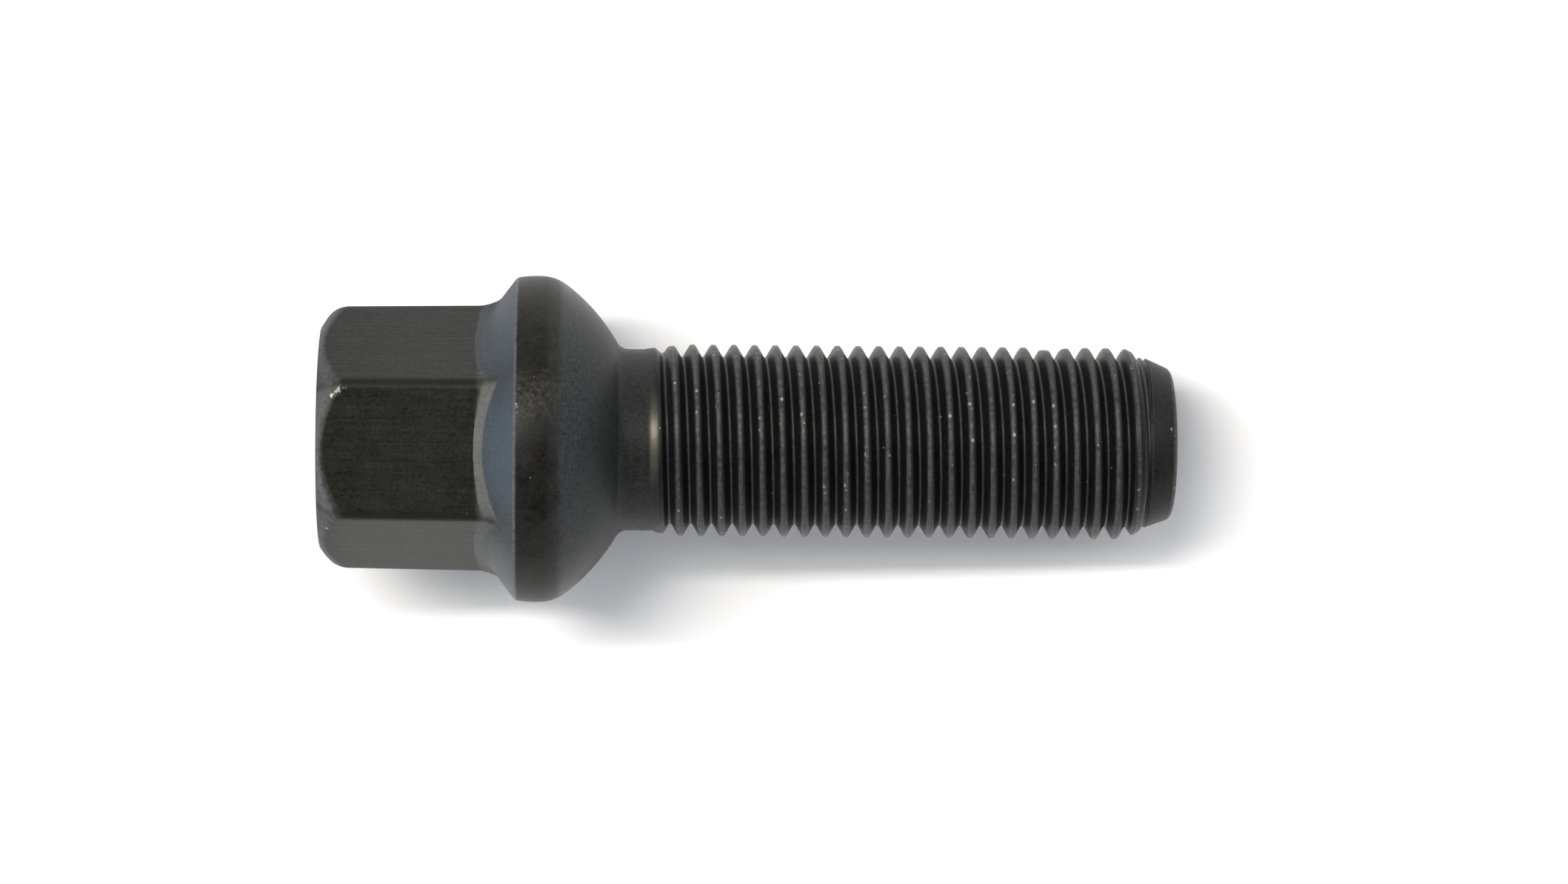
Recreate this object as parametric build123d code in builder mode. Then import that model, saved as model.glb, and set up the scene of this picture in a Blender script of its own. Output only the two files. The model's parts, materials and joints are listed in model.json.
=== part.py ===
"""Wheel bolt: a forged steel bolt in one piece, with a hexagon head, a round collar, a ball seat and a shank.

The bolt stands on its head. The origin is the centre of the head's end face, and +Z runs along the axis
to the tip of the shank. Sizes are in millimetres and angles in degrees. The thread is shown by the
cylinder of its crests, with its run-out at one end and the tapered point at the other.
"""

from build123d import *

import os
from math import acos, degrees, radians, sin, sqrt, tan

# Hexagon head: the flats lean out a little towards the collar, and the end is chamfered round
hex_across_flats = 16.6
hex_draft = 0.7
hex_corner_radius = 0.8
head_height = 14.05
end_face_diameter = 16.2
end_chamfer_angle = 32.0
end_corner_radius = 1.8
dish_diameter = 11.0
dish_depth = 0.5
dish_wall_angle = 45.0

# Collar: a cone at the back, a crowned rim, and the fillet that carries the flats into the cone
collar_diameter = 23.6
collar_width = 2.83
collar_crown = 0.14
collar_back_angle = 53.0
collar_back_radius = 0.45
collar_front_radius = 3.0
head_root_fillet = 1.6

# Ball seat: part of a sphere about a centre on the axis
seat_radius = 14.0
seat_root_fillet = 1.0

# Shank, measured from the small end of the seat
shank_diameter = 13.1
shank_length = 40.0
plain_length = 1.5
run_out_length = 3.2
thread_diameter = 13.85
point_length = 3.5
point_diameter = 10.8
point_edge_radius = 0.6

# Radii and heights that follow from these sizes
end_face_radius = end_face_diameter / 2
dish_floor_radius = dish_diameter / 2 - dish_depth / tan(radians(dish_wall_angle))
rim_edge_radius = collar_diameter / 2 - collar_crown
shank_radius = shank_diameter / 2
thread_radius = thread_diameter / 2
point_radius = point_diameter / 2
collar_front = head_height + collar_width
seat_start_angle = degrees(acos(rim_edge_radius / seat_radius))
seat_end_angle = degrees(acos(shank_radius / seat_radius))
seat_centre = collar_front - seat_radius * sin(radians(seat_start_angle))
seat_end = seat_centre + seat_radius * sin(radians(seat_end_angle))
run_out_start = seat_end + plain_length
thread_start = run_out_start + run_out_length
tip = seat_end + shank_length
point_start = tip - point_length

# Reach of the rounded corners where the hexagon is widest, at the collar
widest_across_flats = hex_across_flats + 2 * head_height * tan(radians(hex_draft))
corner_cut = hex_corner_radius * (2 / sqrt(3) - 1)
corner_reach = widest_across_flats / sqrt(3) - corner_cut
chamfer_height = (corner_reach - end_face_radius) * tan(radians(end_chamfer_angle))
chamfer_length = sqrt((corner_reach - end_face_radius) ** 2 + chamfer_height**2)

# The rounding of the hexagon's corners stays on the chamfer, with some of it left flat
chamfer_turn = 90.0 - end_chamfer_angle
chamfer_share = 0.9
chamfer_rounding = min(end_corner_radius, chamfer_share * chamfer_length / tan(radians(chamfer_turn / 2)))

# The cone at the back of the collar runs on inside the hexagon, which makes the two one solid
cone_radius = hex_across_flats / 2 - head_root_fillet
cone_height = head_height - (rim_edge_radius - cone_radius) / tan(radians(collar_back_angle))

with BuildPart() as wheel_bolt:
    # Hexagon prism with rounded corners and forging draft
    with BuildSketch() as hexagon:
        RegularPolygon(radius=hex_across_flats / 2, side_count=6, major_radius=False)
        fillet(hexagon.vertices(), radius=hex_corner_radius)
    extrude(amount=head_height)
    draft(wheel_bolt.faces().filter_by(Plane.XY, reverse=True), Plane.XY, -hex_draft)

    # Turned form of the head's end: shallow dish, flat face, chamfer and rounded corners
    with BuildSketch(Plane.XZ) as end_form:
        with BuildLine():
            Polyline(
                (0, dish_depth),
                (dish_floor_radius, dish_depth),
                (dish_diameter / 2, 0),
                (end_face_radius, 0),
                (corner_reach, chamfer_height),
                (corner_reach, head_height),
                (0, head_height),
                close=True,
            )
        make_face()
        chamfer_corner = end_form.vertices().sort_by_distance((corner_reach, chamfer_height))[0]
        fillet(chamfer_corner, radius=chamfer_rounding)
    revolve(axis=Axis.Z, mode=Mode.INTERSECT)

    # Collar, ball seat, shank and point in one turned profile
    with BuildSketch(Plane.XZ) as turned_form:
        with BuildLine():
            Polyline(
                (0, cone_height),
                (cone_radius, cone_height),
                (rim_edge_radius, head_height),
            )
            ThreePointArc(
                (rim_edge_radius, head_height),
                (collar_diameter / 2, head_height + collar_width / 2),
                (rim_edge_radius, collar_front),
            )
            CenterArc((0, seat_centre), seat_radius, seat_start_angle, seat_end_angle - seat_start_angle)
            Polyline(
                (shank_radius, seat_end),
                (shank_radius, run_out_start),
                (thread_radius, thread_start),
                (thread_radius, point_start),
                (point_radius, tip),
                (0, tip),
                (0, cone_height),
            )
        make_face()
        for corner, radius in (
            ((rim_edge_radius, head_height), collar_back_radius),
            ((rim_edge_radius, collar_front), collar_front_radius),
            ((shank_radius, seat_end), seat_root_fillet),
            ((point_radius, tip), point_edge_radius),
        ):
            fillet(turned_form.vertices().sort_by_distance(corner)[0], radius=radius)
    revolve(axis=Axis.Z)

    # Fillet that runs round the foot of the hexagon and makes the scallops on its flats
    fillet(wheel_bolt.edges(Select.NEW), radius=head_root_fillet)

wheel_bolt.part.label = "wheel_bolt"

os.makedirs("parts", exist_ok=True)
export_step(wheel_bolt.part, "parts/wheel_bolt.step")
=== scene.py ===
import cmath
import json
import math

import bpy
from mathutils import Matrix, Vector


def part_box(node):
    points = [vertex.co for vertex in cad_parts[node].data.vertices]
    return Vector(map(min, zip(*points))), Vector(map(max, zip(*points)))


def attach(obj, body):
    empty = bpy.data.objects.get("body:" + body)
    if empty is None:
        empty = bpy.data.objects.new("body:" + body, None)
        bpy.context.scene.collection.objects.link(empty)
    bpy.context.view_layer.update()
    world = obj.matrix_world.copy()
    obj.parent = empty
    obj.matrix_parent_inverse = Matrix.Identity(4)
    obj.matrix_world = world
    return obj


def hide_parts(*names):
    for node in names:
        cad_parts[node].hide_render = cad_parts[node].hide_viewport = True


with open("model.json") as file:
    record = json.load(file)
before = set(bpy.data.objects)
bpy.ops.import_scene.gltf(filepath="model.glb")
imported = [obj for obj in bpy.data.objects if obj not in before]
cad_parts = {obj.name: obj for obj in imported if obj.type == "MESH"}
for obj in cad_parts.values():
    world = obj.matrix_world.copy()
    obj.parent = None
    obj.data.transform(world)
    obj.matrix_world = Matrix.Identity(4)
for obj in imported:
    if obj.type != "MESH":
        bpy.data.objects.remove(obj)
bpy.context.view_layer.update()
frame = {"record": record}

# Sizes are in millimetres, angles in degrees, heights above the head's end face
MM = 0.001

# The shown skin stays this far inside the solid's box
skin_inset = 0.01

# What the frame gives: the bolt's box and its threaded shank
_, bolt_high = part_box("wheel_bolt")
mounts = {mount["name"]: mount for mount in frame["record"]["mounts"]}
shank_mount = mounts["threaded_shank"]
bolt_length = bolt_high.z / MM
collar_radius = bolt_high.y / MM - skin_inset
crest_radius = shank_mount["dims"]["r_mm"]
thread_middle = shank_mount["pos_m"][2] / MM
thread_length = shank_mount["dims"]["length_mm"]
point_start = thread_middle + thread_length / 2

# Hexagon head
hex_across_flats = 16.6
hex_draft = 0.7
hex_corner_radius = 0.8
end_face_radius = 7.95
end_edge_rounding = 0.2
chamfer_angle = 32.0
chamfer_rounding_flat = 0.6
chamfer_rounding_corner = 1.9
dish_radius = 5.5
dish_depth = 0.5
dish_rounding = 0.15
foot_ramp_angle_flat = 14.0
foot_ramp_angle_corner = 21.0
foot_ramp_flat = 0.5
foot_ramp_corner = 0.75
foot_crease_flat = 0.15
foot_crease_corner = 3.0
foot_bend_flat = 0.45
foot_bend_corner = 1.2

# Collar and ball seat
rim_back = 14.05
rim_width = 2.9
rim_crown = 0.14
rim_back_rounding = 0.45
rim_front_rounding = 3.0
cone_angle = 53.0
seat_radius = 14.0
seat_root_fillet = 1.0

# Shank, thread and point; a crest's height at angle 0, less whole pitches, places the helix
shank_radius = 6.55
thread_start = 23.0
groove_start = 24.0
groove_run_out = 1.0
lip_slope = 0.117
pitch = 1.5
root_radius = 6.03
root_half_width = 0.07
flank_slope = math.tan(math.radians(60))
root_softness = 0.10
crest_softness = 0.10
crest_height_at_zero = 0.49
thread_end = 59.45
end_groove_radius = 5.85
end_groove_slope = 2.0
point_length = bolt_length - point_start
point_shoulder = 0.16
point_shoulder_radius = 6.07
point_shoulder_rounding = 0.06
point_burr = 0.14
point_burr_angle = 174.0
point_radius = 5.4
point_rounding = 0.6
point_slope = (crest_radius - point_radius) / point_length
taper_softness = 0.05
tip_slant = 0.10
tip_slant_turn = -6.0

# Knocks that flattened a crest: height, angle round the bolt, depth, length along the crest
knocks = (
    (52.2, 176, 0.17, 2.6),
    (53.7, 172, 0.09, 1.8),
    (32.2, 352, 0.06, 1.2),
    (43.4, 356, 0.08, 1.4),
    (49.0, 4, 0.06, 1.0),
    (38.7, 60, 0.07, 1.5),
    (46.1, 95, 0.09, 1.6),
    (29.6, 120, 0.06, 1.2),
)

# Spots rubbed to the bare steel: height, radius, angle, size
bare_spots = (
    (1.19, 9.13, 245.5, 0.26),
    (1.39, 9.25, 244.0, 0.30),
    (1.65, 9.27, 242.7, 0.30),
    (1.96, 9.27, 241.9, 0.22),
    (2.27, 9.28, 241.6, 0.18),
    (0.74, 8.70, 312.7, 0.18),
    (0.54, 8.74, 311.9, 0.15),
    (14.22, 11.60, 252.2, 0.11),
    (14.22, 11.60, 253.4, 0.11),
    (14.24, 11.60, 254.7, 0.09),
    (61.25, 5.5, 257.8, 0.15),
    (60.95, 5.6, 253.3, 0.12),
    (61.35, 5.4, 299.9, 0.16),
    (1.0, 9.3, 61, 0.30),
    (0.9, 9.2, 119, 0.25),
    (14.3, 11.65, 75, 0.30),
)
bare_strength = 3.0

# The line of wear and painted highlight on the crests: its strength, its place and width across a pitch, on
# the shoulder where the key lamp's highlight falls, the side of the bolt where it is painted strongest, the
# wear left on the far side, and the part of a pitch in which it fades at the end
crest_sheen_and_wear = 0.60
sheen_and_wear_line = 0.47
sheen_and_wear_line_core = 0.02
sheen_and_wear_line_reach = 0.13
sheen_side = 252.0
sheen_side_power = 2.0
hidden_wear = 0.25
end_fade = 0.3

# How strongly a pale line is painted along the roots as a highlight, and how far across a pitch
root_gleam = 0.45
root_gleam_reach = 0.07

# How strongly a painted highlight shows on the ramp at the foot of each flat, from the flat at 30 degrees
# on
ramp_gleam = (0.5, 0.4, 0.5, 0.05, 1.0, 0.3)

# Dull bands on the hexagon's ridges and on the cone beside them, in degrees, and how strong on the cone
ridge_band = 1.7
foot_band = 11.0
foot_dull = 0.38

# The lower side of the cone as the camera sees it, where the painted blue reflection gives way to a painted
# neutral grey one: its middle, where it starts to fade and where it ends, how much blue it loses and how
# much grey it takes
grey_side = 345.0
grey_reach = 45.0
grey_end = 62.0
grey_fade = 0.55
grey_gleam = 0.25

# Patches of the rim with brown grime worked into the grain: height, radius, angle, size
grimy_patches = (
    (15.4, 11.7, 249, 3.4),
    (15.6, 11.7, 20, 4.5),
    (15.3, 11.7, 128, 4.0),
)
grime_elsewhere = 0.15

# A painted highlight on the lip at the thread's start, on the side towards the camera: heights, then its
# middle and reach round the bolt
lip_highlight = (
    (groove_start - 0.45, 0.0),
    (groove_start - 0.25, 1.0),
    (groove_start + 0.1, 1.0),
    (groove_start + 0.35, 0.0),
)
lip_highlight_angle = 263.0
lip_highlight_reach = 4.2

# How finely the surface is divided
columns = 168
rows_per_pitch = 14
corner_crowding = 0.6
row_crowding = 0.06
crown_steps = 6
seat_steps = 20
seat_first_step = 3
flat_margin = 0.4
merge_distance = 0.002

# What follows from these sizes
rim_front = rim_back + rim_width
rim_edge_radius = collar_radius - rim_crown
crown_radius = ((rim_width / 2) ** 2 + rim_crown**2) / (2 * rim_crown)
seat_centre = rim_front - math.sqrt(seat_radius**2 - rim_edge_radius**2)
seat_end = seat_centre + math.sqrt(seat_radius**2 - shank_radius**2)

# Heights between which the coat of one part goes over into the next
coat_borders = (
    rim_back - 0.1,
    rim_back + 0.1,
    rim_front + 0.05,
    rim_front + 0.5,
    seat_end,
    groove_start - 0.2,
    groove_start + 0.2,
    thread_end - 0.1,
    thread_end,
)

# Sizes of the coat's patterns
blotch_size = 1.3
streak_width = 0.22
streak_thinness = 0.03
flake_size = 0.22
turning_mark = 0.2
grime_size = 0.3
scuff_size = 0.35
ragged_reach = 0.7
grit_spacing = 0.65
grit_cluster = 5.0
dust_spacing = 1.6
relief_depth = 0.02

# How strongly they show: in the tone, in the dullness, in the relief and as metal
streak_tone = 1.4
flake_tone = 3.0
marked_even = 0.7
blotch_dullness = 0.04
lip_dullness = 0.36
streak_relief = 1.2
ring_relief = 0.8
bare_metal = 0.4
lip_metal = 0.5


def add(tree, kind, inputs=None, **settings):
    """Adds a node, sets it, and gives each named input a value or a link."""
    node = tree.nodes.new(kind)
    for name, value in settings.items():
        setattr(node, name, value)
    for socket, value in (inputs or {}).items():
        if isinstance(value, bpy.types.NodeSocket):
            tree.links.new(value, node.inputs[socket])
        else:
            node.inputs[socket].default_value = value
    return node


def colour(code):
    """A linear colour from an sRGB hex value such as "#2b2b28"."""
    parts = [int(code[i : i + 2], 16) / 255 for i in (1, 3, 5)]
    return [v / 12.92 if v <= 0.04045 else ((v + 0.055) / 1.055) ** 2.4 for v in parts] + [1.0]


def grain(size):
    """A texture scale that gives features of about this size in millimetres."""
    return 1 / (size * MM)


def smooth(value):
    """Eases from 0 to 1."""
    value = min(max(value, 0.0), 1.0)
    return value * value * (3 - 2 * value)


def rounded(corners):
    """Rounds a profile's corners and gives rows of point, wear and sheen, painted cool reflection and
    painted gleam.

    Each corner is a point, radius, steps, wear and sheen, and the face after it, which says how much
    painted cool reflection and painted gleam it has.
    """
    line = [(corners[0][0], 0.0, *corners[0][4])]
    for here, (corner, radius, steps, wear_and_sheen, next_face), there in zip(corners, corners[1:], corners[2:]):
        before, face, after = here[0], here[4], there[0]
        heading = (corner - before) / abs(corner - before)
        turn = cmath.phase((after - corner) / heading)
        start = corner - heading * radius * math.tan(abs(turn) / 2)
        centre = start + heading * math.copysign(radius, turn) * 1j
        for step in range(steps + 1):
            share = step / max(steps, 1)
            blend = smooth(2 * share - 0.5)
            cool_reflection, painted_gleam = (a + (b - a) * blend for a, b in zip(face, next_face))
            point = centre + (start - centre) * cmath.exp(1j * turn * share)
            line.append((point, wear_and_sheen * math.sin(math.pi * share), cool_reflection, painted_gleam))
    line.append((corners[-1][0], 0.0, *corners[-1][4]))
    return line


def off_corner(angle):
    """How far an angle round the bolt is from the nearest hexagon corner."""
    sixth = math.pi / 3
    return abs((angle + sixth / 2) % sixth - sixth / 2)


def hexagon_reach(angle, height):
    """Distance from the axis to the drafted hexagon with its rounded corners."""
    half_flats = hex_across_flats / 2 + height * math.tan(math.radians(hex_draft))
    inner = half_flats - hex_corner_radius
    off = off_corner(angle)
    along_flat = half_flats * math.tan(math.pi / 6 - off)
    if along_flat < inner * math.tan(math.pi / 6):
        return half_flats / math.cos(math.pi / 6 - off)
    centre = inner / math.cos(math.pi / 6)
    return centre * math.cos(off) + math.sqrt(hex_corner_radius**2 - (centre * math.sin(off)) ** 2)


def head_profile(angle):
    """The outline from the dished end to the shank at this angle round the bolt, as height + radius j."""
    reach = hexagon_reach(angle, 0)
    edge = (reach - end_face_radius) * math.tan(math.radians(chamfer_angle))
    share = (reach - hexagon_reach(math.pi / 6, 0)) / (hexagon_reach(0, 0) - hexagon_reach(math.pi / 6, 0))
    edge_rounding = chamfer_rounding_flat + share * (chamfer_rounding_corner - chamfer_rounding_flat)
    cone_slope = math.tan(math.radians(cone_angle))
    ramp_angle = foot_ramp_angle_flat + share * (foot_ramp_angle_corner - foot_ramp_angle_flat)
    ramp_slope = math.tan(math.radians(ramp_angle))
    foot = rim_back
    for _ in range(4):
        foot = rim_back - (rim_edge_radius - hexagon_reach(angle, foot)) / cone_slope
    ramp_start = foot - foot_ramp_flat - share * (foot_ramp_corner - foot_ramp_flat)
    ramp_end = foot + (foot - ramp_start) * ramp_slope / (cone_slope - ramp_slope)
    crease = foot_crease_flat + share * (foot_crease_corner - foot_crease_flat)
    bend = foot_bend_flat + share * (foot_bend_corner - foot_bend_flat)
    # Faces: plain, with the painted cool reflection, ramps with the painted gleam, and the end face's edge
    # with half of both
    plain, cool_reflection, painted_gleam, marked = (0, 0), (1, 0), (0.6, 1), (0.5, 0.5)
    corners = [
        (dish_depth + 0j, 0, 0, 0, plain),
        (dish_depth + 1j * (dish_radius - dish_depth - flat_margin), 0, 0, 0, plain),
        (dish_depth + 1j * (dish_radius - dish_depth), dish_rounding, 2, 0, plain),
        (1j * dish_radius, dish_rounding, 2, 0.5, plain),
        (1j * (dish_radius + flat_margin), 0, 0, 0, plain),
        (1j * (end_face_radius - flat_margin), 0, 0, 0, plain),
        (1j * end_face_radius, end_edge_rounding, 4, 0.5, marked),
        (edge + 1j * hexagon_reach(angle, edge), edge_rounding, 8, 0.5, plain),
        (ramp_start + 1j * hexagon_reach(angle, ramp_start), crease, 6, 0.2, painted_gleam),
        (ramp_end + 1j * (rim_edge_radius - (rim_back - ramp_end) * cone_slope), bend, 8, 0, cool_reflection),
        (rim_back + 1j * rim_edge_radius, rim_back_rounding, 6, 0.6, plain),
    ]
    for step in range(1, crown_steps - 1):
        off_middle = rim_width * (step / crown_steps - 0.5)
        crown = math.sqrt(crown_radius**2 - off_middle**2) - crown_radius
        on_rim = rim_back + rim_width / 2 + off_middle + 1j * (collar_radius + crown)
        corners.append((on_rim, 0, 0, 0, plain))
    corners.append((rim_front + 1j * rim_edge_radius, rim_front_rounding, 6, 0.1, plain))
    first = math.acos(rim_edge_radius / seat_radius)
    last = math.acos(shank_radius / seat_radius)
    for step in range(seat_first_step, seat_steps - 1):
        turn = first + (last - first) * step / seat_steps
        on_seat = seat_centre + seat_radius * complex(math.sin(turn), math.cos(turn))
        corners.append((on_seat, 0, 0, 0, plain))
    corners.append((seat_end + 1j * shank_radius, seat_root_fillet, 8, 0, plain))
    corners.append((thread_start + 1j * shank_radius, 0, 0, 0, plain))
    return rounded(corners)


def point_profile(angle):
    """The outline of the tapered point, from the thread's end to the middle of the tip, sheared aslant."""
    middle = bolt_length - tip_slant / 2
    edge = middle + tip_slant / 2 * math.cos(angle - math.radians(tip_slant_turn))
    burr = point_burr * smooth(math.cos(angle - math.radians(point_burr_angle)))
    inner = 1 - (point_rounding + flat_margin) / point_radius
    shoulder = thread_end + point_shoulder + 1j * (point_shoulder_radius + burr)
    plain = (0, 0)
    corners = [
        (thread_end + 1j * end_groove_radius, 0, 0, 0, plain),
        (shoulder, point_shoulder_rounding, 3, 0.3, plain),
        (edge + 1j * point_radius, point_rounding, 6, 0.5, plain),
        (middle + (edge - middle) * inner + 1j * point_radius * inner, 0, 0, 0, plain),
        (middle + 0j, 0, 0, 0, plain),
    ]
    return rounded(corners)


def forged_blank():
    """The head and the point as one mesh, open where the thread comes between them."""
    places, faces = [], []
    marks = {"wear_and_sheen": [], "cool_reflection": [], "painted_gleam": [], "dulled": []}

    def skin(profiles):
        start, rows = len(places), len(profiles[0][1])
        for angles, line in profiles:
            for angle, (point, *values) in zip(angles, line):
                spoke = Vector((math.cos(angle), math.sin(angle), 0)) * point.imag
                places.append((spoke + Vector((0, 0, point.real))) * MM)
                for mark, value in zip(marks.values(), values):
                    mark.append(value)
        for i in range(columns):
            here, there = start + i * rows, start + (i + 1) % columns * rows
            for j in range(rows - 1):
                faces.append((here + j, there + j, there + j + 1, here + j + 1))

    head, point = [], []
    for i in range(columns):
        even = 2 * math.pi * i / columns
        crowded = even - corner_crowding / 6 * math.sin(6 * even)
        line = head_profile(crowded)
        # How strongly the painted highlight shows on this flat's ramp
        ramp_gleam_here = ramp_gleam[int(crowded / (math.pi / 3)) % 6]
        ridge = math.exp(-((off_corner(crowded) / math.radians(ridge_band)) ** 2))
        foot_ridge = math.exp(-((off_corner(crowded) / math.radians(foot_band)) ** 2))
        # On the cone's lower side the painted blue reflection gives way to a painted neutral grey one
        off_grey = abs((math.degrees(crowded) - grey_side + 180) % 360 - 180)
        grey = smooth((grey_end - off_grey) / (grey_end - grey_reach))
        angles, marked_line = [], []
        for place, wear_and_sheen_share, cool_reflection, painted_gleam in line:
            settle = smooth((place.real - rim_back) / (seat_end - rim_back))
            angles.append(crowded + (even - crowded) * settle)
            on_flats = place.real < rim_back and place.imag > end_face_radius
            dulled = ridge * (1 - cool_reflection) + foot_dull * foot_ridge * cool_reflection if on_flats else 0
            on_cone = grey * cool_reflection if on_flats and place.real > rim_back / 2 else 0
            painted_gleam = painted_gleam * ramp_gleam_here + grey_gleam * on_cone
            marked_line.append((place, wear_and_sheen_share, cool_reflection - grey_fade * on_cone, painted_gleam, dulled))
        head.append((angles, marked_line))
        line = [(*row, 0) for row in point_profile(even)]
        point.append(([even] * len(line), line))
    skin(head)
    skin(point)
    mesh = bpy.data.meshes.new("bolt_blank")
    mesh.from_pydata(places, [], faces)
    for name, mark in marks.items():
        mesh.attributes.new(name, "FLOAT", "POINT").data.foreach_set("value", mark)
    return mesh


def thread_tree():
    """Rolls a right-hand thread between the head and the point: one strip wound round the shank."""
    tree = bpy.data.node_groups.new("rolled_thread", "GeometryNodeTree")
    tree.interface.new_socket("Blank", in_out="INPUT", socket_type="NodeSocketGeometry")
    for name in (
        "Pitch", "Crest Radius", "Root Radius", "Root Half Width", "Flank Slope", "Root Softness",
        "Crest Softness", "Shank Radius", "First Root", "Turns", "Start", "Lip Slope", "Groove Start",
        "Groove Run-out", "Point Start", "Point Slope", "Taper Softness", "End", "End Groove Radius",
        "End Groove Slope", "Root Gleam", "Root Gleam Reach", "Crest Sheen And Wear", "Sheen And Wear Line", "Sheen And Wear Line Core",
        "Sheen And Wear Line Reach", "Sheen Side", "Sheen Side Power", "Hidden Wear", "End Fade", "Row Crowding",
        "Merge Distance",
    ):
        tree.interface.new_socket(name, in_out="INPUT", socket_type="NodeSocketFloat")
    for name in ("Columns", "Rows"):
        tree.interface.new_socket(name, in_out="INPUT", socket_type="NodeSocketInt")
    tree.interface.new_socket("Finish", in_out="INPUT", socket_type="NodeSocketMaterial")
    tree.interface.new_socket("Bolt", in_out="OUTPUT", socket_type="NodeSocketGeometry")
    size = tree.nodes.new("NodeGroupInput").outputs

    # A flat strip: its length counts turns, its width counts one pitch from root to root
    along = add(
        tree, "ShaderNodeMath", {0: size["Turns"], 1: size["Columns"]}, operation="MULTIPLY"
    ).outputs[0]
    along = add(tree, "ShaderNodeMath", {0: along, 1: 1.0}, operation="ADD").outputs[0]
    across = add(tree, "ShaderNodeMath", {0: size["Rows"], 1: 1.0}, operation="ADD").outputs[0]
    strip = add(
        tree, "GeometryNodeMeshGrid",
        {"Size X": size["Turns"], "Size Y": 1.0, "Vertices X": along, "Vertices Y": across},
    ).outputs["Mesh"]
    flat = add(tree, "GeometryNodeInputPosition").outputs[0]
    flat = add(tree, "ShaderNodeSeparateXYZ", {0: flat}).outputs
    half = add(tree, "ShaderNodeMath", {0: size["Turns"], 1: 0.5}, operation="MULTIPLY").outputs[0]
    turn = add(tree, "ShaderNodeMath", {0: flat[0], 1: half}, operation="ADD").outputs[0]
    even = add(tree, "ShaderNodeMath", {0: flat[1], 1: 0.5}, operation="ADD").outputs[0]

    # Rows crowd towards root and crest, where the profile bends
    wave = add(tree, "ShaderNodeMath", {0: even, 1: 4 * math.pi}, operation="MULTIPLY").outputs[0]
    wave = add(tree, "ShaderNodeMath", {0: wave}, operation="SINE").outputs[0]
    wave = add(tree, "ShaderNodeMath", {0: wave, 1: size["Row Crowding"]}, operation="MULTIPLY").outputs[0]
    share = add(tree, "ShaderNodeMath", {0: even, 1: wave}, operation="SUBTRACT").outputs[0]

    # Profile height from the distance to the nearest root
    off_root = add(tree, "ShaderNodeMath", {0: share, 1: 0.5}, operation="PINGPONG").outputs[0]
    near = add(tree, "ShaderNodeMath", {0: off_root, 1: size["Pitch"]}, operation="MULTIPLY").outputs[0]
    flank = add(
        tree, "ShaderNodeMath", {0: near, 1: size["Root Half Width"]}, operation="SUBTRACT"
    ).outputs[0]
    flank = add(tree, "ShaderNodeMath", {0: flank, 1: size["Flank Slope"]}, operation="MULTIPLY").outputs[0]
    depth = add(
        tree, "ShaderNodeMath", {0: size["Crest Radius"], 1: size["Root Radius"]}, operation="SUBTRACT"
    ).outputs[0]
    rise = add(
        tree, "ShaderNodeMath", {0: flank, 1: 0.0, 2: size["Root Softness"]}, operation="SMOOTH_MAX"
    ).outputs[0]
    rise = add(
        tree, "ShaderNodeMath", {0: rise, 1: depth, 2: size["Crest Softness"]}, operation="SMOOTH_MIN"
    ).outputs[0]
    cut = add(tree, "ShaderNodeMath", {0: rise, 1: size["Root Radius"]}, operation="ADD").outputs[0]

    # The strip climbs one pitch a turn, fades out of the plain shank and ends on the point's taper
    climb = add(tree, "ShaderNodeMath", {0: turn, 1: share}, operation="ADD").outputs[0]
    climb = add(
        tree, "ShaderNodeMath",
        {0: climb, 1: size["Pitch"], 2: size["First Root"]}, operation="MULTIPLY_ADD",
    ).outputs[0]
    full = add(
        tree, "ShaderNodeMath", {0: size["Groove Start"], 1: size["Groove Run-out"]}, operation="ADD"
    ).outputs[0]
    fade = add(
        tree, "ShaderNodeMapRange", {"Value": climb, "From Min": size["Groove Start"], "From Max": full}
    ).outputs[0]
    groove = add(tree, "ShaderNodeMath", {0: cut, 1: size["Shank Radius"]}, operation="MINIMUM").outputs[0]
    groove = add(
        tree, "ShaderNodeMath", {0: groove, 1: size["Shank Radius"]}, operation="SUBTRACT"
    ).outputs[0]
    groove = add(tree, "ShaderNodeMath", {0: groove, 1: fade}, operation="MULTIPLY").outputs[0]
    lip = add(tree, "ShaderNodeMath", {0: climb, 1: size["Start"]}, operation="SUBTRACT").outputs[0]
    lip = add(tree, "ShaderNodeMath", {0: lip, 1: 0.0}, operation="MAXIMUM").outputs[0]
    lip = add(
        tree, "ShaderNodeMath",
        {0: lip, 1: size["Lip Slope"], 2: size["Shank Radius"]}, operation="MULTIPLY_ADD",
    ).outputs[0]
    ridge = add(tree, "ShaderNodeMath", {0: cut, 1: size["Shank Radius"]}, operation="MAXIMUM").outputs[0]
    ridge = add(tree, "ShaderNodeMath", {0: ridge, 1: lip}, operation="MINIMUM").outputs[0]
    radius = add(tree, "ShaderNodeMath", {0: ridge, 1: groove}, operation="ADD").outputs[0]
    height = add(
        tree, "ShaderNodeClamp", {"Value": climb, "Min": size["Start"], "Max": size["End"]}
    ).outputs[0]
    taper = add(
        tree, "ShaderNodeMath", {0: height, 1: size["Point Start"]}, operation="SUBTRACT"
    ).outputs[0]
    taper = add(tree, "ShaderNodeMath", {0: taper, 1: size["Point Slope"]}, operation="MULTIPLY").outputs[0]
    taper = add(
        tree, "ShaderNodeMath", {0: size["Crest Radius"], 1: taper}, operation="SUBTRACT"
    ).outputs[0]
    radius = add(
        tree, "ShaderNodeMath", {0: radius, 1: taper, 2: size["Taper Softness"]}, operation="SMOOTH_MIN"
    ).outputs[0]
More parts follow.
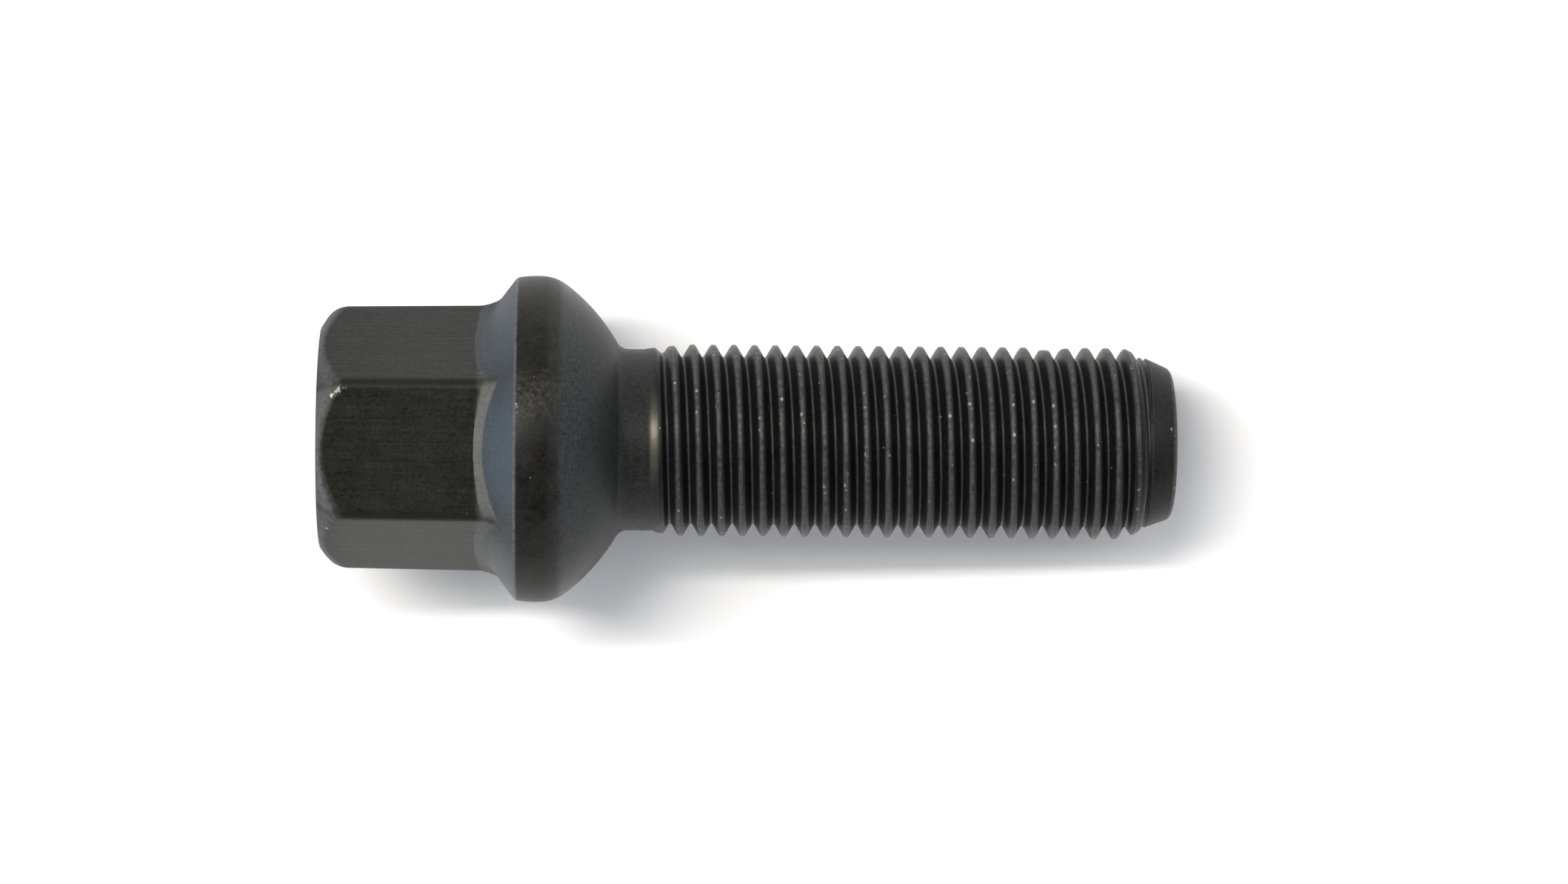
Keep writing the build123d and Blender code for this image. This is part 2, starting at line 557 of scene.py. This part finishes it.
    groove = add(tree, "ShaderNodeMath", {0: size["End"], 1: height}, operation="SUBTRACT").outputs[0]
    groove = add(
        tree, "ShaderNodeMath", {0: groove, 1: size["End Groove Slope"], 2: size["End Groove Radius"]},
        operation="MULTIPLY_ADD",
    ).outputs[0]
    radius = add(tree, "ShaderNodeMath", {0: radius, 1: groove}, operation="MINIMUM").outputs[0]

    angle = add(tree, "ShaderNodeMath", {0: turn, 1: 2 * math.pi}, operation="MULTIPLY").outputs[0]
    cosine = add(tree, "ShaderNodeMath", {0: angle}, operation="COSINE").outputs[0]
    sine = add(tree, "ShaderNodeMath", {0: angle}, operation="SINE").outputs[0]
    x = add(tree, "ShaderNodeMath", {0: radius, 1: cosine}, operation="MULTIPLY").outputs[0]
    y = add(tree, "ShaderNodeMath", {0: radius, 1: sine}, operation="MULTIPLY").outputs[0]
    place = add(tree, "ShaderNodeCombineXYZ", {0: x, 1: y, 2: height}).outputs[0]

    # A painted highlight: a thin pale line along each root
    painted_root_gleam = add(
        tree, "ShaderNodeMapRange",
        {
            "Value": off_root, "From Min": size["Root Gleam Reach"], "From Max": 0.0,
            "To Max": size["Root Gleam"],
        },
        interpolation_type="SMOOTHSTEP",
    ).outputs[0]
    painted_root_gleam = add(tree, "ShaderNodeMath", {0: painted_root_gleam, 1: fade}, operation="MULTIPLY").outputs[0]

    # Crests get a narrow line of wear and painted highlight on the shoulder towards the head; roots do not
    sheen_and_wear = add(tree, "ShaderNodeMath", {0: share, 1: size["Sheen And Wear Line"]}, operation="SUBTRACT").outputs[0]
    sheen_and_wear = add(tree, "ShaderNodeMath", {0: sheen_and_wear}, operation="ABSOLUTE").outputs[0]
    sheen_and_wear = add(
        tree, "ShaderNodeMapRange",
        {"Value": sheen_and_wear, "From Min": size["Sheen And Wear Line Reach"], "From Max": size["Sheen And Wear Line Core"]},
        interpolation_type="SMOOTHSTEP",
    ).outputs[0]
    sheen_and_wear = add(tree, "ShaderNodeMath", {0: sheen_and_wear, 1: fade}, operation="MULTIPLY").outputs[0]
    sheen_and_wear = add(
        tree, "ShaderNodeMath", {0: sheen_and_wear, 1: size["Crest Sheen And Wear"]}, operation="MULTIPLY"
    ).outputs[0]
    side = add(tree, "ShaderNodeMath", {0: angle, 1: size["Sheen Side"]}, operation="SUBTRACT").outputs[0]
    side = add(tree, "ShaderNodeMath", {0: side}, operation="COSINE").outputs[0]
    side = add(tree, "ShaderNodeMath", {0: side, 1: 0.5, 2: 0.5}, operation="MULTIPLY_ADD").outputs[0]
    side = add(tree, "ShaderNodeMath", {0: side, 1: size["Sheen Side Power"]}, operation="POWER").outputs[0]
    side = add(tree, "ShaderNodeMapRange", {"Value": side, "To Min": size["Hidden Wear"]}).outputs[0]
    sheen_and_wear = add(tree, "ShaderNodeMath", {0: sheen_and_wear, 1: side}, operation="MULTIPLY").outputs[0]
    last = add(
        tree, "ShaderNodeMath", {0: size["Pitch"], 1: size["End Fade"]}, operation="MULTIPLY"
    ).outputs[0]
    last = add(tree, "ShaderNodeMath", {0: size["End"], 1: last}, operation="SUBTRACT").outputs[0]
    fade = add(
        tree, "ShaderNodeMapRange", {"Value": climb, "From Min": size["End"], "From Max": last}
    ).outputs[0]
    sheen_and_wear = add(tree, "ShaderNodeMath", {0: sheen_and_wear, 1: fade}, operation="MULTIPLY").outputs[0]
    wound = add(
        tree, "GeometryNodeStoreNamedAttribute", {"Geometry": strip, "Name": "wear_and_sheen", "Value": sheen_and_wear},
        data_type="FLOAT", domain="POINT",
    ).outputs[0]
    wound = add(
        tree, "GeometryNodeStoreNamedAttribute", {"Geometry": wound, "Name": "painted_gleam", "Value": painted_root_gleam},
        data_type="FLOAT", domain="POINT",
    ).outputs[0]
    wound = add(tree, "GeometryNodeSetPosition", {"Geometry": wound, "Position": place}).outputs[0]

    whole = add(tree, "GeometryNodeJoinGeometry")
    tree.links.new(wound, whole.inputs[0])
    tree.links.new(size["Blank"], whole.inputs[0])
    whole = add(
        tree, "GeometryNodeMergeByDistance",
        {"Geometry": whole.outputs[0], "Distance": size["Merge Distance"]},
    ).outputs[0]
    whole = add(tree, "GeometryNodeSetShadeSmooth", {"Geometry": whole}).outputs[0]
    whole = add(tree, "GeometryNodeRealizeInstances", {"Geometry": whole}).outputs[0]
    whole = add(tree, "GeometryNodeSetMaterial", {"Geometry": whole, "Material": size["Finish"]}).outputs[0]
    add(tree, "NodeGroupOutput", {0: whole})
    return tree


def bolt(finish):
    """The whole bolt as one plain mesh."""
    first_root = crest_height_at_zero - pitch / 2
    first_root += pitch * math.floor((thread_start - first_root) / pitch - 1)
    turns = math.ceil((thread_end - first_root) / pitch) + 1
    tree = thread_tree()
    sizes = {
        "Pitch": pitch * MM,
        "Crest Radius": crest_radius * MM,
        "Root Radius": root_radius * MM,
        "Root Half Width": root_half_width * MM,
        "Flank Slope": flank_slope,
        "Root Softness": root_softness * MM,
        "Crest Softness": crest_softness * MM,
        "Shank Radius": shank_radius * MM,
        "First Root": first_root * MM,
        "Turns": float(turns),
        "Start": thread_start * MM,
        "Lip Slope": lip_slope,
        "Groove Start": groove_start * MM,
        "Groove Run-out": groove_run_out * MM,
        "Point Start": point_start * MM,
        "Point Slope": point_slope,
        "Taper Softness": taper_softness * MM,
        "End": thread_end * MM,
        "End Groove Radius": end_groove_radius * MM,
        "End Groove Slope": end_groove_slope,
        "Root Gleam": root_gleam,
        "Root Gleam Reach": root_gleam_reach,
        "Crest Sheen And Wear": crest_sheen_and_wear,
        "Sheen And Wear Line": sheen_and_wear_line,
        "Sheen And Wear Line Core": sheen_and_wear_line_core,
        "Sheen And Wear Line Reach": sheen_and_wear_line_reach,
        "Sheen Side": math.radians(sheen_side),
        "Sheen Side Power": sheen_side_power,
        "Hidden Wear": hidden_wear,
        "End Fade": end_fade,
        "Row Crowding": row_crowding,
        "Merge Distance": merge_distance * MM,
        "Columns": columns,
        "Rows": rows_per_pitch,
        "Finish": finish,
    }
    blank = bpy.data.objects.new("bolt_blank", forged_blank())
    bpy.context.scene.collection.objects.link(blank)
    thread = blank.modifiers.new("thread", "NODES")
    thread.node_group = tree
    for item in tree.interface.items_tree:
        if item.in_out == "INPUT" and item.name in sizes:
            thread[item.identifier] = sizes[item.name]
    weighted = blank.modifiers.new("even_shading", "WEIGHTED_NORMAL")
    weighted.keep_sharp = True
    ready = blank.evaluated_get(bpy.context.evaluated_depsgraph_get())
    mesh = bpy.data.meshes.new_from_object(ready)
    bpy.data.objects.remove(blank)
    mesh.name = "bolt"
    for height, angle, depth, length in knocks:
        spot = Vector((math.cos(math.radians(angle)), math.sin(math.radians(angle)))) * crest_radius
        for vertex in mesh.vertices:
            place = vertex.co / MM
            if abs(place.z - height) < pitch / 2:
                apart = (place.xy - spot).length / (length / 2)
                most = crest_radius - depth * smooth(1.5 - apart)
                if place.xy.length > most:
                    vertex.co.xy *= most / place.xy.length
    piece = bpy.data.objects.new("bolt", mesh)
    bpy.context.scene.collection.objects.link(piece)
    return piece


def on_bolt(height, radius, angle):
    """A place on the bolt's surface, in metres."""
    turn = math.radians(angle)
    return (radius * math.cos(turn) * MM, radius * math.sin(turn) * MM, height * MM)


def along_bolt(tree, height, stops):
    """Values or colours that change along the bolt: stops are (height, value) pairs from head to tip."""
    share = add(tree, "ShaderNodeMath", {0: height, 1: bolt_length * MM}, operation="DIVIDE").outputs[0]
    ramp = add(tree, "ShaderNodeValToRGB", {0: share})
    for _ in stops[2:]:
        ramp.color_ramp.elements.new(1.0)
    for stop, (level, value) in zip(ramp.color_ramp.elements, stops):
        stop.position = level / bolt_length
        stop.color = [value] * 4 if isinstance(value, float) else value
    return ramp.outputs[0]


def fading_from(tree, place, middle, reach):
    """One at this middle on the bolt, fading to none at the reach."""
    apart = add(tree, "ShaderNodeVectorMath", {0: place, 1: middle}, operation="DISTANCE").outputs["Value"]
    return add(
        tree, "ShaderNodeMapRange", {"Value": apart, "From Min": reach * MM, "From Max": 0.0},
        interpolation_type="SMOOTHSTEP",
    ).outputs[0]


def black_zinc_flake():
    """Black zinc flake coat, dipped and baked on forged steel.

    It is satin black with a little olive, and rubbed to grey steel on edges and crests. Paler tones on the
    chamfer, cone, ramps, roots, crests and lip are painted reflections and highlights.
    """
    material = bpy.data.materials.new("black_zinc_flake_on_forged_steel")
    material.use_nodes = True
    tree = material.node_tree
    shader = tree.nodes["Principled BSDF"]
    place = add(tree, "ShaderNodeTexCoord").outputs["Object"]
    height = add(tree, "ShaderNodeSeparateXYZ", {0: place}).outputs[2]

    # The coat's tone and dullness and how its patterns show, for flats, rim, seat, neck, thread and point
    def by_part(flats, rim, seat, neck, thread, point):
        values = (flats, rim, rim, seat, neck, neck, thread, thread, point)
        return along_bolt(tree, height, list(zip(coat_borders, values)))

    codes = ("#1e1f1c", "#121311", "#2f3133", "#212322", "#101113", "#1b1c1c")
    tone = by_part(*(colour(code) for code in codes))
    dullness = by_part(0.33, 0.45, 0.35, 0.46, 0.36, 0.45)
    streaked = by_part(1.0, 0.0, 0.0, 0.0, 0.0, 0.0)
    turned = by_part(0.0, 0.2, 0.6, 1.0, 0.6, 0.3)
    blotched = by_part(0.3, 1.0, 0.2, 0.2, 0.3, 0.2)
    gritty = by_part(0.1, 0.0, 0.0, 0.0, 1.0, 0.3)
    dusty = by_part(0.02, 0.03, 0.02, 0.03, 0.05, 0.05)

    # The chamfer and cone get a lighter blue-grey tone, a painted reflection of cool light from the left.
    # The ramps at the flats' feet and the thread's roots get a pale grey tone, a painted highlight, and the
    # ridges are dull.
    marks = (("cool_reflection", "#40474e", 0.52), ("painted_gleam", "#60625f", 0.42), ("dulled", "#151513", 0.62))
    marked = 0.0
    for mark, code, dull in marks:
        share = add(tree, "ShaderNodeAttribute", attribute_name=mark).outputs["Fac"]
        tone = add(
            tree, "ShaderNodeMix", {"Factor": share, 6: tone, 7: colour(code)}, data_type="RGBA"
        ).outputs[2]
        dullness = add(tree, "ShaderNodeMix", {"Factor": share, 2: dullness, 3: dull}).outputs[0]
        marked = add(tree, "ShaderNodeMath", {0: marked, 1: share}, operation="MAXIMUM").outputs[0]

    # Blotches of the dipped coat, strongest on the rim
    blotch = add(
        tree, "ShaderNodeTexNoise",
        {"Vector": place, "Scale": grain(blotch_size), "Detail": 6.0, "Roughness": 0.7},
    ).outputs[0]
    blotch = add(
        tree, "ShaderNodeMapRange",
        {"Value": blotch, "From Min": 0.32, "From Max": 0.68, "To Min": -0.7, "To Max": 0.9},
    ).outputs[0]
    shade = add(
        tree, "ShaderNodeMath", {0: blotch, 1: blotched, 2: 1.0}, operation="MULTIPLY_ADD"
    ).outputs[0]

    # Drawing streaks along the flats, left by the forging die
    drawn = add(
        tree, "ShaderNodeVectorMath", {0: place, 1: (1.0, 1.0, streak_thinness)}, operation="MULTIPLY"
    ).outputs[0]
    streak = add(
        tree, "ShaderNodeTexNoise",
        {"Vector": drawn, "Scale": grain(streak_width), "Detail": 3.0, "Roughness": 0.6},
    ).outputs[0]
    streak = add(tree, "ShaderNodeMath", {0: streak, 1: 0.5}, operation="SUBTRACT").outputs[0]
    streak = add(tree, "ShaderNodeMath", {0: streak, 1: streaked}, operation="MULTIPLY").outputs[0]
    shade = add(
        tree, "ShaderNodeMath", {0: streak, 1: streak_tone, 2: shade}, operation="MULTIPLY_ADD"
    ).outputs[0]

    # Fine mottle of the baked flakes, drawn coarser than the real flakes so that it shows
    mottle = add(
        tree, "ShaderNodeTexNoise",
        {"Vector": place, "Scale": grain(flake_size), "Detail": 3.0, "Roughness": 0.7},
    ).outputs[0]
    mottle = add(tree, "ShaderNodeMath", {0: mottle, 1: 0.5}, operation="SUBTRACT").outputs[0]
    shade = add(
        tree, "ShaderNodeMath", {0: mottle, 1: flake_tone, 2: shade}, operation="MULTIPLY_ADD"
    ).outputs[0]

    # Turning marks round the seat and the plain shank
    ring = add(
        tree, "ShaderNodeTexNoise",
        {"W": height, "Scale": grain(turning_mark), "Detail": 2.0}, noise_dimensions="1D",
    ).outputs[0]
    ring = add(tree, "ShaderNodeMath", {0: ring, 1: 0.5}, operation="SUBTRACT").outputs[0]
    ring = add(tree, "ShaderNodeMath", {0: ring, 1: turned}, operation="MULTIPLY").outputs[0]
    # Patterns are evened out under the painted reflection, the painted gleam and the dull ridges
    even = add(tree, "ShaderNodeMath", {0: marked, 1: marked_even}, operation="MULTIPLY").outputs[0]
    shade = add(tree, "ShaderNodeMix", {"Factor": even, 2: shade, 3: 1.0}).outputs[0]
    coat = add(tree, "ShaderNodeVectorMath", {0: tone, "Scale": shade}, operation="SCALE").outputs[0]

    # Brown grime in the grain of the rim
    ragged = add(
        tree, "ShaderNodeTexNoise",
        {"Vector": place, "Scale": grain(grime_size), "Detail": 4.0, "Roughness": 0.7},
    )
    grime = add(
        tree, "ShaderNodeMapRange",
        {"Value": ragged.outputs[0], "From Min": 0.42, "From Max": 0.66, "To Max": 0.8},
    ).outputs[0]
    grimy = grime_elsewhere
    for *middle, reach in grimy_patches:
        near = fading_from(tree, place, on_bolt(*middle), reach)
        grimy = add(tree, "ShaderNodeMath", {0: grimy, 1: near}, operation="MAXIMUM").outputs[0]
    grime = add(tree, "ShaderNodeMath", {0: grime, 1: grimy}, operation="MULTIPLY").outputs[0]
    grime = add(tree, "ShaderNodeMath", {0: grime, 1: blotched}, operation="MULTIPLY").outputs[0]
    coat = add(
        tree, "ShaderNodeMix", {"Factor": grime, 6: coat, 7: colour("#46443b")}, data_type="RGBA"
    ).outputs[2]

    # Edges and crests are burnished, and rubbed through to the steel in small ragged scuffs. The line on
    # the crests is partly a painted highlight.
    wear_and_sheen_share = add(tree, "ShaderNodeAttribute", attribute_name="wear_and_sheen").outputs["Fac"]
    stray = add(
        tree, "ShaderNodeVectorMath", {0: ragged.outputs[1], 1: (0.5, 0.5, 0.5)}, operation="SUBTRACT"
    ).outputs[0]
    stray = add(
        tree, "ShaderNodeVectorMath",
        {0: stray, 1: (ragged_reach * MM,) * 3, 2: place}, operation="MULTIPLY_ADD",
    ).outputs[0]
    for *middle, reach in bare_spots:
        middle = on_bolt(*middle)
        apart = add(
            tree, "ShaderNodeVectorMath", {0: stray, 1: middle}, operation="DISTANCE"
        ).outputs["Value"]
        rub = add(
            tree, "ShaderNodeMapRange",
            {"Value": apart, "From Min": reach * MM, "From Max": 0.0, "To Max": bare_strength},
        ).outputs[0]
        wear_and_sheen_share = add(tree, "ShaderNodeMath", {0: wear_and_sheen_share, 1: rub}, operation="MAXIMUM").outputs[0]
    scuff = add(
        tree, "ShaderNodeTexNoise", {"Vector": place, "Scale": grain(scuff_size), "Detail": 4.0}
    ).outputs[0]
    scuff = add(
        tree, "ShaderNodeMapRange", {"Value": scuff, "From Min": 0.3, "From Max": 0.7, "To Min": 0.25}
    ).outputs[0]
    burnish_and_sheen = add(tree, "ShaderNodeMath", {0: wear_and_sheen_share, 1: scuff}, operation="MULTIPLY").outputs[0]
    coat = add(
        tree, "ShaderNodeMix", {"Factor": burnish_and_sheen, 6: coat, 7: colour("#6c6c68")}, data_type="RGBA"
    ).outputs[2]
    bare = add(
        tree, "ShaderNodeMapRange", {"Value": burnish_and_sheen, "From Min": 0.52, "From Max": 0.72},
        interpolation_type="SMOOTHSTEP",
    ).outputs[0]
    coat = add(
        tree, "ShaderNodeMix", {"Factor": bare, 6: coat, 7: colour("#aaa494")}, data_type="RGBA"
    ).outputs[2]

    # Pale grit pressed into the crests, in clusters
    grit = add(tree, "ShaderNodeTexVoronoi", {"Vector": place, "Scale": grain(grit_spacing)})
    cluster = add(
        tree, "ShaderNodeTexNoise", {"Vector": place, "Scale": grain(grit_cluster), "Detail": 1.0}
    ).outputs[0]
    cluster = add(
        tree, "ShaderNodeMapRange", {"Value": cluster, "From Min": 0.40, "From Max": 0.60, "To Max": 0.26}
    ).outputs[0]
    grit = add(
        tree, "ShaderNodeMapRange",
        {"Value": grit.outputs["Distance"], "From Min": cluster, "From Max": 0.0},
    ).outputs[0]
    grit = add(tree, "ShaderNodeMath", {0: grit, 1: wear_and_sheen_share}, operation="MULTIPLY").outputs[0]
    grit = add(tree, "ShaderNodeMath", {0: grit, 1: gritty}, operation="MULTIPLY").outputs[0]
    grit = add(tree, "ShaderNodeMapRange", {"Value": grit, "From Max": 0.3}).outputs[0]
    coat = add(
        tree, "ShaderNodeMix", {"Factor": grit, 6: coat, 7: colour("#98958d")}, data_type="RGBA"
    ).outputs[2]

    # Dust grains, most of them caught in the thread
    dust = add(
        tree, "ShaderNodeTexVoronoi", {"Vector": place, "Scale": grain(dust_spacing)}
    ).outputs["Distance"]
    dust = add(tree, "ShaderNodeMapRange", {"Value": dust, "From Min": dusty, "From Max": 0.01}).outputs[0]
    coat = add(
        tree, "ShaderNodeMix", {"Factor": dust, 6: coat, 7: colour("#a8a296")}, data_type="RGBA"
    ).outputs[2]

    # A painted highlight on the lip where the thread starts
    lip_sheen = along_bolt(tree, height, lip_highlight)
    near = fading_from(tree, place, on_bolt(groove_start, shank_radius, lip_highlight_angle), lip_highlight_reach)
    lip_sheen = add(tree, "ShaderNodeMath", {0: lip_sheen, 1: near}, operation="MULTIPLY").outputs[0]
    coat = add(
        tree, "ShaderNodeMix", {"Factor": lip_sheen, 6: coat, 7: colour("#5e5b53")}, data_type="RGBA"
    ).outputs[2]
    dullness = add(tree, "ShaderNodeMix", {"Factor": lip_sheen, 2: dullness, 3: lip_dullness}).outputs[0]
    tree.links.new(coat, shader.inputs["Base Color"])

    rough = add(
        tree, "ShaderNodeMath", {0: blotch, 1: blotch_dullness, 2: dullness}, operation="MULTIPLY_ADD"
    ).outputs[0]
    tree.links.new(rough, shader.inputs["Roughness"])
    metal = add(tree, "ShaderNodeMath", {0: bare, 1: bare_metal}, operation="MULTIPLY").outputs[0]
    metal = add(
        tree, "ShaderNodeMath", {0: lip_sheen, 1: lip_metal, 2: metal}, operation="MULTIPLY_ADD"
    ).outputs[0]
    tree.links.new(metal, shader.inputs["Metallic"])
    # The coat's resin is a weak mirror
    shader.inputs["IOR"].default_value = 1.28

    # Fine grain of the coat with the streaks and turning marks in relief
    relief = add(
        tree, "ShaderNodeMath", {0: streak, 1: streak_relief, 2: mottle}, operation="MULTIPLY_ADD"
    ).outputs[0]
    relief = add(
        tree, "ShaderNodeMath", {0: ring, 1: ring_relief, 2: relief}, operation="MULTIPLY_ADD"
    ).outputs[0]
    bump = add(
        tree, "ShaderNodeBump", {"Strength": 0.6, "Distance": relief_depth * MM, "Height": relief}
    ).outputs[0]
    tree.links.new(bump, shader.inputs["Normal"])
    return material


def looking_rays(tree):
    """One for rays that look at a thing, straight, by a reflection or through glass, and none for light."""
    ray = add(tree, "ShaderNodeLightPath").outputs
    seen = ray["Is Camera Ray"]
    for other in ("Is Glossy Ray", "Is Transmission Ray"):
        seen = add(tree, "ShaderNodeMath", {0: seen, 1: ray[other]}, operation="MAXIMUM").outputs[0]
    return seen


def white_card(name, lift):
    """Matt white card with one face. Lift brings it to white where it is seen, and its shadow stays."""
    material = bpy.data.materials.new(name)
    material.use_nodes = True
    tree = material.node_tree
    tree.nodes.clear()
    strength = add(
        tree, "ShaderNodeMath", {0: looking_rays(tree), 1: lift}, operation="MULTIPLY"
    ).outputs[0]
    paper = add(tree, "ShaderNodeBsdfDiffuse", {"Color": colour("#fafafa")}).outputs[0]
    glow = add(tree, "ShaderNodeEmission", {"Color": colour("#ffffff"), "Strength": strength}).outputs[0]
    front = add(tree, "ShaderNodeAddShader", {0: paper, 1: glow}).outputs[0]
    clear = add(tree, "ShaderNodeBsdfTransparent").outputs[0]
    behind = add(tree, "ShaderNodeNewGeometry").outputs["Backfacing"]
    surface = add(tree, "ShaderNodeMixShader", {0: behind, 1: front, 2: clear}).outputs[0]
    add(tree, "ShaderNodeOutputMaterial", {"Surface": surface})
    return material


def sheet_of_card(name, middle, across, up, size, material):
    """A square card about a middle, spanned by two directions; its front is towards across x up."""
    reach = size / 2 * MM
    ends = ((-1, -1), (1, -1), (1, 1), (-1, 1))
    corners = [middle * MM + across * (reach * i) + up * (reach * j) for i, j in ends]
    mesh = bpy.data.meshes.new(name)
    mesh.from_pydata(corners, [], [(0, 1, 2, 3)])
    mesh.materials.append(material)
    card = bpy.data.objects.new(name, mesh)
    bpy.context.scene.collection.objects.link(card)
    return card


# The bolt
piece = bolt(black_zinc_flake())
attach(piece, "root")
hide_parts("wheel_bolt")

# Camera: it looks square across the axis from beside the shank, rolled so that the tip is on the right
camera_turn = math.radians(5.87)
camera_tilt = math.radians(2.3)
camera_roll = math.radians(0.475)
camera_distance = 351.5
camera_focus = 33.42
camera_drop = 0.075
photo_width = 2117
focal_pixels = 6550
sensor_width = 36.0

axis = Vector((0, 0, 1))
away = Vector((math.sin(camera_turn), math.cos(camera_turn), 0))
forward = away * math.cos(camera_tilt) + axis * math.sin(camera_tilt)
right = (axis - forward * axis.dot(forward)).normalized()
up = right.cross(forward)
frame_right = right * math.cos(camera_roll) + up * math.sin(camera_roll)
frame_up = up * math.cos(camera_roll) - right * math.sin(camera_roll)
camera_place = axis * camera_focus - frame_up * camera_drop - forward * camera_distance
lens = bpy.data.cameras.new("camera")
lens.sensor_fit = "HORIZONTAL"
lens.sensor_width = sensor_width
lens.lens = sensor_width * focal_pixels / photo_width
lens.clip_start = 0.01
camera = bpy.data.objects.new("camera", lens)
camera_sight = Matrix((frame_right, frame_up, -forward)).transposed().to_4x4()
camera.matrix_world = Matrix.Translation(camera_place * MM) @ camera_sight
bpy.context.scene.collection.objects.link(camera)
bpy.context.scene.camera = camera

# Floor under the head, and a white backdrop that the collar and the tip touch from the camera's far side
floor_size = 3000.0
floor_gap = 0.01
floor_lift = 0.8
backdrop_size = 1200.0
backdrop_gap = 0.05
backdrop_lift = 0.06
lean = (collar_radius - crest_radius) / (point_start - rim_back - rim_width / 2)
backdrop_up = (axis - away * lean).normalized()
backdrop_across = Vector((away.y, -away.x, 0))
backdrop_touch = away * (collar_radius + backdrop_gap) + axis * (rim_back + rim_width / 2)
floor_card = white_card("floor_card", floor_lift)
floor_middle = Vector((0, 0, -floor_gap))
floor = sheet_of_card("floor", floor_middle, Vector((1, 0, 0)), Vector((0, 1, 0)), floor_size, floor_card)
backdrop_card = white_card("backdrop_card", backdrop_lift)
backdrop = sheet_of_card(
    "backdrop", backdrop_touch, backdrop_across, backdrop_up, backdrop_size, backdrop_card
)
floor.visible_shadow = False
floor.visible_glossy = False

# World: even white where it is seen, softer and a little cool as light
world = bpy.data.worlds.new("studio")
world.use_nodes = True
tree = world.node_tree
sky_level = 0.42
sky = add(tree, "ShaderNodeBackground", {"Color": colour("#f1f5fa"), "Strength": sky_level}).outputs[0]
white = add(tree, "ShaderNodeBackground", {"Color": colour("#ffffff"), "Strength": 1.0}).outputs[0]
both = add(tree, "ShaderNodeMixShader", {0: looking_rays(tree), 1: sky, 2: white}).outputs[0]
tree.links.new(both, tree.nodes["World Output"].inputs["Surface"])
bpy.context.scene.world = world

# Height on the bolt's axis about which lamps and flag are set out
aim_height = 30.0


def soft_lamp(name, towards, distance, sides, level, tint):
    """An oval area lamp. Level is its light at the bolt, where 1 shows a white card as white."""
    light = bpy.data.lights.new(name, "AREA")
    light.shape = "ELLIPSE"
    light.size, light.size_y = (side * MM for side in sides)
    light.energy = level * (math.pi * distance * MM) ** 2
    light.color = colour(tint)[:3]
    lamp = bpy.data.objects.new(name, light)
    place = Matrix.Translation((axis * aim_height + towards * distance) * MM)
    side = axis.cross(towards).normalized()
    lamp.matrix_world = place @ Matrix((towards.cross(side), -side, towards)).transposed().to_4x4()
    bpy.context.scene.collection.objects.link(lamp)


# Key: a long strip to the left and above in the picture. Band: a weaker one below it. Fill: from the upper
# right. Window: cool light from the far left, a little below. Each has its direction towards the camera's
# side, the tip and down in the picture, then distance, sides, level and tint.
lamps = (
    ("key", (1.0, -0.53, -0.30), 1200.0, (940.0, 120.0), 0.68, "#fffaf3"),
    ("band", (1.0, -0.37, -0.17), 1200.0, (600.0, 240.0), 0.18, "#fffaf3"),
    ("fill", (1.0, 0.70, -0.45), 1200.0, (900.0, 900.0), 0.28, "#f6f8ff"),
    ("window", (-0.10, -0.93, 0.30), 600.0, (600.0, 480.0), 0.84, "#d2e4ff"),
)
for name, (near, tipward, down), *rest in lamps:
    towards = (axis * tipward - away * near + backdrop_across * down).normalized()
    soft_lamp(name, towards, *rest)

# Dark card behind the camera, so that faces square to the camera stay black
flag_distance = 1300.0
flag_size = 4500.0
flag_paint = bpy.data.materials.new("black_flag")
flag_paint.use_nodes = True
flag_shader = flag_paint.node_tree.nodes["Principled BSDF"]
flag_shader.inputs["Base Color"].default_value = colour("#1a1a1a")
flag_shader.inputs["Roughness"].default_value = 0.9
flag_middle = axis * aim_height - away * flag_distance
flag = sheet_of_card("black_flag", flag_middle, backdrop_across, axis, flag_size, flag_paint)
flag.visible_camera = False

bpy.context.scene.view_settings.view_transform = "Standard"
